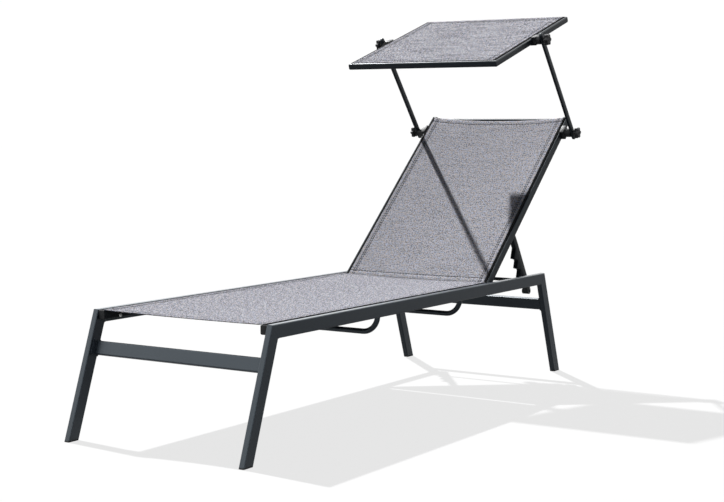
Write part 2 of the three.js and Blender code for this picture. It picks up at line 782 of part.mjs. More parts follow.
// Canopy frame, in its own frame: Y runs from its front to its rear, with the pivot at zero
const canopyFrontY = -canopyPivot;
const canopyRearY = canopyLength - canopyPivot;
const canopyMiddle = (canopyFrontY + canopyRearY) / 2;
const canopySideX = canopyOuterX - canopyTube / 2;
const halfSeam = seam / 2;
const endSideOfMitre = beyondMitre(canopyOuterX + halfSeam, canopyRearY, quarter / 2);
const sideSideOfMitre = beyondMitre(canopyOuterX - halfSeam, canopyRearY, -3 * (quarter / 2));
const canopySideTube = without(
  alongY(canopySection, canopyFrontY, canopyRearY, canopySideX),
  endSideOfMitre,
  turnedAbout(canopyMiddle, endSideOfMitre),
);
const canopyRearTube = without(
  alongX(canopySection, -canopyOuterX, canopyOuterX, canopyRearY - canopyTube / 2),
  sideSideOfMitre,
  mirrored(sideSideOfMitre),
);

// Canopy fabric is held on all four sides, so its edges turn down into a slot all round
const canopySlotX = canopySideX + slotFromCentre;
const canopySlotY = canopyRearY - slotInset;
const canopyRailTop = canopyTube / 2;
const canopyClothTop = canopyRailTop + clothLift;
const canopySplineZ = canopyRailTop - chamberDrop;
const canopySheet = () => {
  const outerX = canopySlotX + clothThickness / 2;
  const innerX = canopySlotX - clothThickness / 2;
  const rearY = canopySlotY + clothThickness / 2;
  const halfLength = rearY - canopyMiddle;
  const heldY = canopyRearY - canopyTube - canopyMiddle;
  const edgeX = canopyOuterX - canopyTube;
  const lip = canopyRailTop - lipDepth;
  const grid = (edge, thickness) => {
    const level = canopyClothTop - thickness;
    const row = (y, slack) => {
      const point = (x, z) => new THREE.Vector3(x, canopyMiddle + y, z);
      return [
        point(-edge, lip),
        point(-edge, level),
        ...columnShares.map((share) => point(share * edgeX, level - slack * (1 - share ** 2))),
        point(edge, level),
        point(edge, lip),
      ];
    };
    return [
      row(-halfLength, 0),
      ...columnShares.map((share) => row(share * heldY, canopySag * (1 - share ** 2))),
      row(halfLength, 0),
    ];
  };
  return sheet(grid(outerX, 0), grid(innerX, clothThickness));
};
const rearLip = alongX(
  shapeOf(rectangle(clothThickness, lipDepth + clothLift - clothThickness / 2, 0)),
  -canopySlotX, canopySlotX, canopySlotY, canopyRailTop + (clothLift - clothThickness / 2 - lipDepth) / 2,
);
const canopySling = joined([canopySheet(), rearLip, turnedAbout(canopyMiddle, rearLip)]);
const rearSpline = bar(splineRadius, -canopySlotX, canopySlotX, canopySlotY, canopySplineZ, splineSides);
const sideSpline = splineRod(canopyFrontY + slotInset, canopySlotY, canopySlotX, canopySplineZ);
const canopySpline = joined([bothSides(sideSpline), rearSpline, turnedAbout(canopyMiddle, rearSpline)]);

// Assembly: the frame stands still, and each moving group turns about its own pivot
const turningGroup = (y, z, angle, pieces) => {
  const group = new THREE.Group();
  group.position.set(0, y, z);
  group.rotation.x = radians(angle);
  group.add(...pieces);
  return group;
};

const rearTwin = (body) => turnedAbout(frameLength / 2, body);

const frameGroup = new THREE.Group();
frameGroup.add(
  ...pairOf('side_rail', sideRail, looks.frame),
  ...pairOf('leg_front', legTube, looks.frame),
  ...pairOf('leg_rear', rearTwin(legTube), looks.frame),
  ...pairOf('foot_front', foot, looks.plastic),
  ...pairOf('foot_rear', rearTwin(foot), looks.plastic),
  ...pairOf('seat_sling_rail', seatRail, looks.frame),
  ...pairOf('seat_plug_front', seatFrontPlug, looks.plastic),
  ...pairOf('seat_plug_rear', seatRearPlug, looks.plastic),
  piece('seat_sling', seatSling, looks.seatCloth),
  ...pairOf('seat_spline', seatSpline, looks.spline),
  piece('crossbar_front', crossbar(seatHeight - crossbarFrontDrop), looks.frame),
  piece('crossbar_rear', rearTwin(crossbar(seatHeight - crossbarRearDrop)), looks.frame),
  piece('spreader_front', spreader(spreaderFrontPlace), looks.frame),
  piece('spreader_rear', spreader(backrestPivot - spreaderFromPivot), looks.frame),
  piece('rest_rod', restRod, looks.rack),
  ...pairOf('pivot_bolt', pivotBolt, looks.steel),
  ...pairOf('pivot_bush', pivotBush, looks.nylon),
);

const canopyGroup = turningGroup(armLength, 0, canopyTilt - armAngle, [
  piece('canopy_front_tube', turnedAbout(canopyMiddle, canopyRearTube), looks.canopyFrame),
  piece('canopy_rear_tube', canopyRearTube, looks.canopyFrame),
  ...pairOf('canopy_side_tube', canopySideTube, looks.canopyFrame),
  piece('canopy_sling', canopySling, looks.canopyCloth),
  piece('canopy_spline', canopySpline, looks.spline),
  ...pairOf('clamp_upper', upperClamp, looks.plastic),
]);

const armGroup = turningGroup(clampReach, -clampDrop, armAngle - backrestAngle, [
  ...pairOf('canopy_arm', arm, looks.canopyFrame),
  ...pairOf('knob_lower', knob(backrestOuterX, 0), looks.plastic),
  ...pairOf('knob_upper', knob(canopyOuterX, armLength), looks.plastic),
  canopyGroup,
]);

const rackGroup = turningGroup(rackPivotReach, -rackPivotDrop, -rackSlope - backrestAngle, [
  ...pairOf('prop_rack', rack, looks.rack),
  ...pairOf('prop_bush', rackBush, looks.nylon),
]);

const backrestGroup = turningGroup(backrestPivot, hingeZ, backrestAngle, [
  ...pairOf('backrest_rail', backrestRail, looks.frame),
  piece('backrest_top_tube', crossTube(backrestLength - topTubeInset, topTubeRise), looks.frame),
  piece('backrest_bottom_tube', crossTube(bottomTubeReach, -bottomTubeDrop), looks.frame),
  piece('backrest_sling', backrestSling, looks.backrestCloth),
  ...pairOf('backrest_spline', backrestSpline, looks.spline),
  ...pairOf('backrest_plug', backrestPlug, looks.plastic),
  ...pairOf('prop_bolt', propBolt, looks.steel),
  ...pairOf('clamp_lower', lowerClamp, looks.plastic),
  rackGroup,
  armGroup,
]);

// The origin is on the ground, midway between the foot end and the head end
const lounger = new THREE.Group();
lounger.add(frameGroup, backrestGroup);
const bounds = new THREE.Box3().setFromObject(lounger, true);
lounger.position.set(0, -(bounds.min.y + bounds.max.y) / 2, -bounds.min.z);

export default lounger;
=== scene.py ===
"""Sun lounger with canopy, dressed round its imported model. Metres, +Z up, foot end towards -Y."""

import json
import math

import bmesh
import bpy
from mathutils import Matrix, Vector, noise


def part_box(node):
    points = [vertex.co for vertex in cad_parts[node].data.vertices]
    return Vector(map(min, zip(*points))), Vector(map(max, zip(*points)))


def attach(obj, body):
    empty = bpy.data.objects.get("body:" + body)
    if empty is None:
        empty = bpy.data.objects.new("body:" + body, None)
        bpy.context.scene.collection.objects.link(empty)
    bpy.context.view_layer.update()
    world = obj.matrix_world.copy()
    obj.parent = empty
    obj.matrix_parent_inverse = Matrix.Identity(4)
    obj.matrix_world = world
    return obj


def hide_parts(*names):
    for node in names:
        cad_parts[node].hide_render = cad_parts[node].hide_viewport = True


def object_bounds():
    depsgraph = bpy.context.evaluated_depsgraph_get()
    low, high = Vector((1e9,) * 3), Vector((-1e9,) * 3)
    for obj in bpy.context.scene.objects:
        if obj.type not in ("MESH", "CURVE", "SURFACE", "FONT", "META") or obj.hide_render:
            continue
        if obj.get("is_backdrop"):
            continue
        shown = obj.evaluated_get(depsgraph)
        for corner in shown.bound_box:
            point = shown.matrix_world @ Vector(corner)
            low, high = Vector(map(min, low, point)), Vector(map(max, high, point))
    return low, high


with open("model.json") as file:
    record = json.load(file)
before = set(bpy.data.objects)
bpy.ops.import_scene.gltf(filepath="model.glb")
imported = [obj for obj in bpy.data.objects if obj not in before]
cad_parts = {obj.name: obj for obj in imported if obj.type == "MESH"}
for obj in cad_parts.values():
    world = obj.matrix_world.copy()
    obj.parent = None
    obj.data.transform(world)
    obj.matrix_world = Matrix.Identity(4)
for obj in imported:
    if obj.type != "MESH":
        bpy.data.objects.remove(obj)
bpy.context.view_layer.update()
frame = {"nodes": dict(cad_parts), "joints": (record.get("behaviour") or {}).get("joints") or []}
pivot = {joint["name"]: Vector(joint["pos_m"]) for joint in frame["joints"]}

# Camera: the photograph looks along the lounger from its near front corner, a little below the canopy,
# through a short telephoto lens.
lens = bpy.data.cameras.new("camera")
lens.lens = 75.52
lens.sensor_width = 36
lens.clip_end = 60
camera = bpy.data.objects.new("camera", lens)
camera.location = (2.6041, -3.97705, 0.8814)
camera.rotation_euler = (math.radians(90 - 4.968), 0, math.radians(32.912))
bpy.context.scene.collection.objects.link(camera)
bpy.context.scene.camera = camera


# Frame: side rails, legs and crossbars are aluminium with a satin anthracite powder coat, which has a
# faint orange peel, a fine speckle and a little dust near the ground. The extruded sling rails inside the
# side rails have a matt coat, painted darker than the frame's as painted shade of the recess by the cloth.
class Value:
    """A number that varies over a surface: arithmetic on it adds Math nodes."""

    def __init__(self, nodes, socket):
        self.nodes = nodes
        self.socket = socket

    def math(self, operation, *values):
        return self.nodes.node("ShaderNodeMath", {"operation": operation}, dict(enumerate(values)))

    def __add__(self, other):
        return self.math("ADD", self, other)

    def __sub__(self, other):
        return self.math("SUBTRACT", self, other)

    def __rsub__(self, other):
        return self.math("SUBTRACT", other, self)

    def __mul__(self, other):
        return self.math("MULTIPLY", self, other)

    def __mod__(self, other):
        return self.math("FLOORED_MODULO", self, other)

    __radd__ = __add__
    __rmul__ = __mul__


class Nodes:
    """One node tree, and the way every node is added to it."""

    def __init__(self, tree):
        self.tree = tree

    def node(self, kind, settings, sockets, output=0):
        made = self.tree.nodes.new(kind)
        for setting, value in settings.items():
            setattr(made, setting, value)
        for socket, value in sockets.items():
            if isinstance(value, Value):
                self.tree.links.new(value.socket, made.inputs[socket])
            else:
                made.inputs[socket].default_value = value
        return Value(self, made.outputs[output])


class Finish(Nodes):
    """One procedural material round a Principled shader."""

    def __init__(self, name, **shader):
        self.material = bpy.data.materials.new(name)
        self.material.use_nodes = True
        super().__init__(self.material.node_tree)
        self.shader = self.tree.nodes["Principled BSDF"]
        for socket, value in shader.items():
            self.shader.inputs[socket.replace("_", " ").title().replace("Ior", "IOR")].default_value = value

    def feed(self, socket, value):
        self.tree.links.new(value.socket, self.shader.inputs[socket])

    def place(self):
        return self.node("ShaderNodeTexCoord", {}, {}, "Object")

    def noise(self, where, scale, detail=2.0, roughness=0.5):
        sockets = {"Vector": where, "Scale": scale, "Detail": detail, "Roughness": roughness}
        return self.node("ShaderNodeTexNoise", {}, sockets, "Fac")

    def between(self, value, low, high, to_low, to_high):
        sockets = dict(enumerate((value, low, high, to_low, to_high)))
        return self.node("ShaderNodeMapRange", {"clamp": True}, sockets)

    def axis(self, where, name):
        return self.node("ShaderNodeSeparateXYZ", {}, {0: where}, name)

    def blend(self, share, first, second, kind="MIX"):
        sockets = {0: share, 6: first, 7: second}
        return self.node("ShaderNodeMix", {"data_type": "RGBA", "blend_type": kind}, sockets, 2)

    def relief(self, height, distance, strength=1.0):
        sockets = {"Height": height, "Distance": distance, "Strength": strength}
        self.feed("Normal", self.node("ShaderNodeBump", {}, sockets))


def colour(red, green, blue):
    """A colour written as the screen shows it, 0 to 255, as the shader's linear values."""
    shares = (channel / 255 for channel in (red, green, blue))
    return (*(((s + 0.055) / 1.055) ** 2.4 if s > 0.04045 else s / 12.92 for s in shares), 1.0)


# Painted reflection colour: the coats' reflections are tinted blue, standing in for blue sky light.
sky_blue_reflection_tint = (0.8, 0.92, 1.0, 1.0)
dust_height = 0.09
peel_depth = 0.00008


def powder_coat(name, main, dusty, roughness=0.3, gloss=0.5):
    """A powder coat whose colour is dusted low down and whose gloss is cloudy and speckled."""
    finish = Finish(name, specular_ior_level=gloss, specular_tint=sky_blue_reflection_tint)
    where = finish.place()
    cloudy = finish.noise(where, 7.0, 3.0)
    speckle = finish.noise(where, 1400.0, 1.0)
    near_ground = finish.between(finish.axis(where, "Z"), 0.0, dust_height, 0.4, 0.0)
    dust = near_ground * finish.noise(where, 30.0, 4.0) + finish.between(cloudy, 0.45, 0.8, 0.0, 0.1)
    finish.feed("Base Color", finish.blend(dust, main, dusty))
    finish.feed("Roughness", roughness + cloudy * 0.1 + speckle * 0.06)
    finish.relief(finish.noise(where, 620.0, 2.0) + speckle * 0.4, peel_depth, 0.4)
    return finish.material


def give(material, *nodes):
    """The CAD nodes named keep their shape and get this finish."""
    for name in nodes:
        slots = frame["nodes"][name].data.materials
        slots.clear()
        slots.append(material)


def sides(*names):
    return [f"{name}_{side}" for name in names for side in ("left", "right")]


frame_coat = powder_coat("anthracite_powder_coat", colour(38, 45, 54), colour(84, 87, 90))
give(
    frame_coat,
    *sides("side_rail", "leg_front", "leg_rear"),
    "crossbar_front",
    "crossbar_rear",
)
# Painted shade: the sling rails' coat is darker than the frame's, standing for the shaded recess beside the
# cloth.
matt_shade_darkened_coat = powder_coat("matt_shade_darkened_coat_material", colour(20, 22, 26), colour(60, 63, 66), 0.6, 0.2)
give(matt_shade_darkened_coat, *sides("seat_sling_rail"))


# Spreaders: two round tubes bent down under the seat, welded to the underside of the sling rails so that
# the taut fabric can't pull the rails together.
def piece(name, shape, finish, body, slot, *nodes, crease=35):
    """A bmesh becomes a piece that rides on its body and stands for the CAD nodes named."""
    mesh = bpy.data.meshes.new(name)
    shape.to_mesh(mesh)
    shape.free()
    mesh.materials.append(finish)
    mesh.shade_smooth()
    mesh.set_sharp_from_angle(angle=math.radians(crease))
    made = bpy.data.objects.new(name, mesh)
    bpy.context.scene.collection.objects.link(made)
    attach(made, body)
    if nodes:
        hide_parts(*nodes)
    return made


def moved(geometry, offset, shape):
    """Extrudes a rim of edges by an offset and gives back the new rim."""
    rim = bmesh.ops.extrude_edge_only(shape, edges=geometry)["geom"]
    corners = [item for item in rim if isinstance(item, bmesh.types.BMVert)]
    bmesh.ops.translate(shape, verts=corners, vec=offset)
    return [item for item in rim if isinstance(item, bmesh.types.BMEdge)]


def swept(geometry, centre, angle, steps, shape):
    """Spins a rim of edges about a line along Y and gives back the rim at its end."""
    turn = bmesh.ops.spin(shape, geom=geometry, cent=centre, axis=(0, 1, 0), angle=angle, steps=steps)
    return [item for item in turn["geom_last"] if isinstance(item, bmesh.types.BMEdge)]


merge_distance = 0.000001


def turned(profile, steps=48):
    """Spins a profile of (along X, radius) points round the X axis into a closed solid."""
    shape = bmesh.new()
    points = [shape.verts.new((along, radius, 0)) for along, radius in profile]
    line = [shape.edges.new(pair) for pair in zip(points, points[1:])]
    bmesh.ops.spin(
        shape,
        geom=points + line,
        cent=(0, 0, 0),
        axis=(1, 0, 0),
        angle=2 * math.pi,
        steps=steps,
        use_merge=True,
    )
    bmesh.ops.remove_doubles(shape, verts=shape.verts, dist=merge_distance)
    return shape


def placed(shape, at, axis):
    """Turns a shape made along X to an axis and moves it to its place."""
    lean = Vector((1, 0, 0)).rotation_difference(Vector(axis)).to_matrix().to_4x4()
    bmesh.ops.transform(shape, verts=shape.verts, matrix=Matrix.Translation(at) @ lean)
    bmesh.ops.recalc_face_normals(shape, faces=shape.faces)
    return shape


tube_radius = 0.008
tube_wall = 0.0015
tube_bend = 0.05
tube_sides = 28
bend_steps = 14
bead_foot = 0.0026
bead_height = 0.0028
bead_sunk = 0.0004
for end in ("front", "rear"):
    low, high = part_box(f"spreader_{end}")
    middle_y = (low.y + high.y) / 2
    end_x = high.x - tube_radius
    run_z = low.z + tube_radius
    tube = bmesh.new()
    start = Matrix.Translation((-end_x, middle_y, high.z))
    bmesh.ops.create_circle(tube, segments=tube_sides, radius=tube_radius, matrix=start)
    rim = moved(tube.edges[:], (0, 0, run_z + tube_bend - high.z), tube)
    rim = swept(rim, (tube_bend - end_x, middle_y, run_z + tube_bend), -math.pi / 2, bend_steps, tube)
    rim = moved(rim, (2 * (end_x - tube_bend), 0, 0), tube)
    rim = swept(rim, (end_x - tube_bend, middle_y, run_z + tube_bend), -math.pi / 2, bend_steps, tube)
    moved(rim, (0, 0, high.z - run_z - tube_bend), tube)
    bmesh.ops.recalc_face_normals(tube, faces=tube.faces)
    bmesh.ops.solidify(tube, geom=tube.faces[:], thickness=tube_wall)
    piece(f"bent_spreader_{end}", tube, frame_coat, "frame", "frame_powder_coat", f"spreader_{end}")
    for side, sign in (("left", -1), ("right", 1)):
        bead = turned(
            (
                (0, tube_radius - bead_sunk),
                (0, tube_radius + bead_foot),
                (0.0009, tube_radius + 0.0023),
                (0.0022, tube_radius + 0.001),
                (bead_height, tube_radius + 0.0001),
                (bead_height, tube_radius - bead_sunk),
                (0, tube_radius - bead_sunk),
            )
        )
        placed(bead, (sign * end_x, middle_y, high.z), (0, 0, -1))
        piece(f"spreader_weld_{end}_{side}", bead, frame_coat, "frame", "frame_powder_coat")


# Moulded plastic: the feet, the end plugs of the rails and the clamps are black mouldings with a fine
# grain. Each keeps its CAD shape, with its edges rounded as a mould leaves them.
grain_depth = 0.00008


def moulding(name, main, roughness):
    """A moulded plastic with a fine grain, pale scuffs and patches of more and less gloss."""
    finish = Finish(name, roughness=roughness, specular_ior_level=0.25)
    where = finish.place()
    grain = finish.noise(where, 2600.0, 2.0)
    scuffs = finish.noise(where, 90.0, 6.0, 0.7)
    worn = tuple(min(4 * channel, channel + 0.12) + 0.01 for channel in main[:3]) + (1.0,)
    finish.feed("Base Color", finish.blend(finish.between(scuffs, 0.56, 0.75, 0.0, 0.35), main, worn))
    finish.feed("Roughness", roughness - 0.08 + finish.noise(where, 45.0) * 0.16)
    finish.relief(grain, grain_depth, 0.5)
    return finish.material


node_merge_distance = 0.00001
nearly_flat = math.radians(0.4)
sharp_edge = math.radians(40)


def softened(node, width):
    """A copy of a CAD node, merged, with its sharp edges rounded."""
    shape = bmesh.new()
    shape.from_mesh(frame["nodes"][node].data)
    bmesh.ops.remove_doubles(shape, verts=shape.verts, dist=node_merge_distance)
    bmesh.ops.dissolve_limit(shape, angle_limit=nearly_flat, verts=shape.verts, edges=shape.edges)
    sharp = [e for e in shape.edges if e.is_manifold and e.calc_face_angle() > sharp_edge]
    bmesh.ops.bevel(
        shape,
        geom=sharp,
        offset=width,
        segments=2,
        profile=0.5,
        affect="EDGES",
        clamp_overlap=True,
        material=-1,
    )
    bmesh.ops.triangulate(shape, faces=[f for f in shape.faces if len(f.verts) > 4])
    return shape


black_plastic = moulding("black_moulded_plastic", colour(20, 22, 25), 0.52)
mouldings = {
    "frame": sides("foot_front", "foot_rear", "seat_plug_front", "seat_plug_rear"),
    "backrest": sides("backrest_plug", "clamp_lower"),
    "canopy": sides("clamp_upper"),
}
edge_round = 0.0007
for body, nodes in mouldings.items():
    for node in nodes:
        piece(f"{node}_moulding", softened(node, edge_round), black_plastic, body, "black_plastic", node)


# Racks and rod: the racks are cut from thick black plate and turn on bushes, and the rod that they hook
# on to has an end plate on each side rail. A grey nylon ring lines the recess in each rack's hub.
prop_black = powder_coat("black_coated_metal", colour(18, 21, 25), colour(60, 62, 65), gloss=0.16)
rack_edge_round = 0.0008
rod_edge_round = 0.0006
for side in ("left", "right"):
    node = f"prop_rack_{side}"
    rack = softened(node, rack_edge_round)
    piece(f"toothed_{node}", rack, prop_black, f"prop_{side}", "prop_black", node)
rod = softened("rest_rod", rod_edge_round)
piece("prop_rest_rod", rod, prop_black, "frame", "prop_black", "rest_rod")
nylon = moulding("grey_nylon", colour(176, 178, 180), 0.5)
hub_radius = 0.0105
hub_recess = 0.002
ring_bore = 0.0048
ring_radius = 0.0084
ring_height = 0.0027
for side, sign in (("left", -1), ("right", 1)):
    low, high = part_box(f"prop_rack_{side}")
    ring = turned(
        (
            (0, ring_bore),
            (0, ring_radius),
            (0.0022, ring_radius),
            (ring_height, 0.0079),
            (ring_height, 0.0062),
            (0.0023, 0.0057),
            (0.0008, ring_bore),
            (0, ring_bore),
        )
    )
    floor_x = max(abs(low.x), abs(high.x)) - hub_recess
    placed(ring, (sign * floor_x, high.y - hub_radius, low.z + hub_radius), (sign, 0, 0))
    piece(f"hub_ring_{side}", ring, nylon, f"prop_{side}", "bush_nylon")


# Screws: zinc-plated button heads with a hexagon socket hold the sling rails to the side rails, four on
# each side, and the rest rod's end plates, two on each.
def plated_steel():
    """Zinc plating: cloudy in colour and gloss."""
    finish = Finish("zinc_plated_steel", metallic=1.0)
    where = finish.place()
    cloudy = finish.noise(where, 60.0, 3.0)
    finish.feed("Base Color", finish.blend(cloudy, colour(158, 160, 160), colour(214, 215, 213)))
    finish.feed("Roughness", 0.24 + finish.noise(where, 220.0, 2.0) * 0.25)
    finish.relief(finish.noise(where, 1500.0), 0.00005, 0.4)
    return finish.material


head_radius = 0.0055
head_height = 0.0027
socket_floor = 0.0012
socket_rim = 0.0021
socket_spread = 1.08


def screw(name, at, axis):
    """A button head seated at a point, facing along an axis, with a hexagon pressed into it."""
    head = turned(
        (
            (0, 0),
            (0, 0.0052),
            (0.0006, head_radius),
            (0.0016, 0.005),
            (0.0024, 0.0038),
            (head_height, 0.0026),
            (head_height, socket_rim),
            (socket_floor, 0.002),
            (socket_floor, 0),
        ),
        36,
    )
    sixth = math.pi / 3
    for corner in head.verts:
        out = math.hypot(corner.co.y, corner.co.z)
        if corner.co.x > socket_floor - 0.0001 and out < socket_rim + 0.0001:
            angle = math.atan2(corner.co.z, corner.co.y) % sixth - sixth / 2
            corner.co.yz = corner.co.yz * (math.cos(sixth / 2) / math.cos(angle) * socket_spread)
    piece(name, placed(head, at, axis), steel, "frame", "bolt_steel")


steel = plated_steel()
rail_screw_places = (-0.787, -0.43, -0.07, 0.29)
rail_screw_height = 0.3325
end_plate_thickness = 0.003
end_plate_screw_reach = 0.015
rod_low, rod_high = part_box("rest_rod")
rod_middle = (rod_low + rod_high) / 2
for side, sign in (("left", -1), ("right", 1)):
    rail_low, rail_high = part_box(f"seat_sling_rail_{side}")
    rail_face = sign * min(abs(rail_low.x), abs(rail_high.x))
    for number, along in enumerate(rail_screw_places, 1):
        screw(f"rail_screw_{side}_{number}", (rail_face, along, rail_screw_height), (-sign, 0, 0))
    plate_face = sign * (rod_high.x - end_plate_thickness)
    for number, reach in enumerate((-end_plate_screw_reach, end_plate_screw_reach), 1):
        at = (plate_face, rod_middle.y + reach, rod_middle.z)
        screw(f"end_plate_screw_{side}_{number}", at, (-sign, 0, 0))


# Backrest, canopy frame and arms: slotted extrusions, cross tubes and two flat bars with round ends. All
# are aluminium in the frame's powder coat, here given in a darker copy that is painted shade.
# Painted shade: a darker copy of the frame's coat for the backrest, canopy frame and arms.
shade_darkened_coat = powder_coat("shade_darkened_powder_coat", colour(20, 25, 31), colour(60, 64, 68), gloss=0.22)
give(
    shade_darkened_coat,
    *sides("backrest_rail", "canopy_side_tube"),
    "backrest_top_tube",
    "backrest_bottom_tube",
    "canopy_front_tube",
    "canopy_rear_tube",
)
arm_width = 0.02
arm_length = 0.398
arm_overhang = 0.0165
arm_edge = 0.0016
arm_rim = math.radians(60)
lower_pivot = pivot["canopy_arms_swing"]
upper_pivot = pivot["canopy_tilt"]
arm_reach = upper_pivot - lower_pivot
arm_slope = math.atan2(arm_reach.z, arm_reach.y)
for side in ("left", "right"):
    low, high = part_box(f"canopy_arm_{side}")
    bar = bmesh.new()
    bmesh.ops.create_circle(bar, cap_ends=True, segments=48, radius=arm_width / 2)
    upper = [v for v in bar.verts if v.co.y > 0]
    bmesh.ops.translate(bar, verts=bar.verts, vec=(0, -arm_overhang, 0))
    bmesh.ops.translate(bar, verts=upper, vec=(0, arm_length + 2 * arm_overhang, 0))
    bar_face = bmesh.ops.extrude_face_region(bar, geom=bar.faces[:])["geom"]
    outer = [item for item in bar_face if isinstance(item, bmesh.types.BMVert)]
    bmesh.ops.translate(bar, verts=outer, vec=(0, 0, high.x - low.x))
    rims = [e for e in bar.edges if e.calc_face_angle() > arm_rim]
    bmesh.ops.bevel(
        bar,
        geom=rims,
        offset=arm_edge,
        segments=3,
        profile=0.5,
        affect="EDGES",
        material=-1,
    )
    upright = Matrix(((0, 0, 1), (0, 1, 0), (-1, 0, 0))).to_4x4()
    place = Matrix.Translation((low.x, *lower_pivot.yz)) @ Matrix.Rotation(arm_slope, 4, "X") @ upright
    bmesh.ops.transform(bar, verts=bar.verts, matrix=place)
    bmesh.ops.recalc_face_normals(bar, faces=bar.faces)
    piece(f"flat_arm_{side}", bar, shade_darkened_coat, "canopy_arms", "canopy_powder_coat", f"canopy_arm_{side}")


# Knobs: six-lobed black mouldings, dished in the middle, each moulded round a threaded stud that passes
# through an arm into its clamp. Turned by hand, they hold the canopy and its arms.
knob_radius = 0.02
knob_waist = 0.0095
knob_height = 0.0205
knob_head = 0.013
knob_lobes = 6
lobe_depth = 0.005
lobe_foot = 0.0011
stud_radius = 0.004
knob_centres = {"lower": lower_pivot, "upper": upper_pivot}
for level, centre in knob_centres.items():
    for side, sign in (("left", -1), ("right", 1)):
        node = f"knob_{level}_{side}"
        low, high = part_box(node)
        inner, outer = sorted((abs(low.x), abs(high.x)))
        hub = outer - knob_height
        head = outer - knob_head
        knob = turned(
            (
                (inner, 0),
                (inner, stud_radius - 0.0006),
                (inner + 0.0006, stud_radius),
                (hub, stud_radius),
                (hub, knob_waist - 0.0005),
                (hub + 0.0005, knob_waist),
                (head - 0.001, knob_waist),
                (head, knob_waist + 0.001),
                (head, knob_radius - 0.0026),
                (head + 0.0007, knob_radius - 0.0009),
                (head + 0.0024, knob_radius),
                (outer - 0.0026, knob_radius),
                (outer - 0.0008, knob_radius - 0.0009),
                (outer, knob_radius - 0.003),
                (outer, 0.0085),
                (outer - 0.0012, 0.0072),
                (outer - 0.0016, 0.006),
                (outer - 0.0009, 0.0045),
                (outer - 0.0006, 0),
            ),
            96,
        )
        for corner in knob.verts:
            out = math.hypot(corner.co.y, corner.co.z)
            if out > knob_waist + lobe_foot:
                angle = math.atan2(corner.co.z, corner.co.y)
                dip = lobe_depth * (1 - math.cos(knob_lobes * angle)) / 2
                corner.co.yz = corner.co.yz * ((out - dip) / out)
        bmesh.ops.scale(knob, verts=knob.verts, vec=(sign, 1, 1))
        bmesh.ops.rotate(knob, verts=knob.verts, matrix=Matrix.Rotation(arm_slope, 3, "X"))
        bmesh.ops.translate(knob, verts=knob.verts, vec=(0, *centre.yz))
        bmesh.ops.recalc_face_normals(knob, faces=knob.faces)
        piece(f"star_{node}", knob, black_plastic, node, "black_plastic", node)


# Slings: woven mesh fabric of coated yarn in a heather grey. Their held edges are folded round spline
# rods in the rails' slots, in a pocket welded in a double line, and the free ends have a welded hem.
cloth = 0.0012
lip_drop = 0.0054
edge_turn = ((-0.0012, 0), (-0.0003, 0.0004), (0, 0.0013))
pocket_welds = (0.0205, 0.027)
pocket_lift = 0.0005
pocket_to_field = 0.004
hem_weld = 0.022
hem_to_field = 0.005
hem_fold = 0.0013
hem_turn = (
    (0.026, 2 * hem_fold),
    (0.0016, 2 * hem_fold),
    (0.0004, 0.0021),
    (0.0, hem_fold),
    (0.0004, 0.0005),
    (0.0016, 0.0),
)
groove = 0.0005
groove_half = 0.0012
ripple = 0.0009
yarn_pitch = 0.0011
weave_depth = 0.0005
dash_pitch = 0.011
dash_end = (0.006, 0.0075)
weld_edge = (0.0012, 0.0026)
# How far in from a held edge the painted shade of the slot reaches.
painted_slot_shade_edge = (0.0122, 0.0137)
pale_yarn = colour(224, 225, 230)
dark_yarn = colour(66, 69, 77)
weld_colour = colour(48, 50, 56)
# Painted shade of the slots: the near-black that the cloth gets where it turns down into a slot and just
# before it.
painted_slot_shade = colour(20, 21, 23)
cool_yarn = colour(230, 238, 255)
warm_yarn = colour(255, 243, 233)


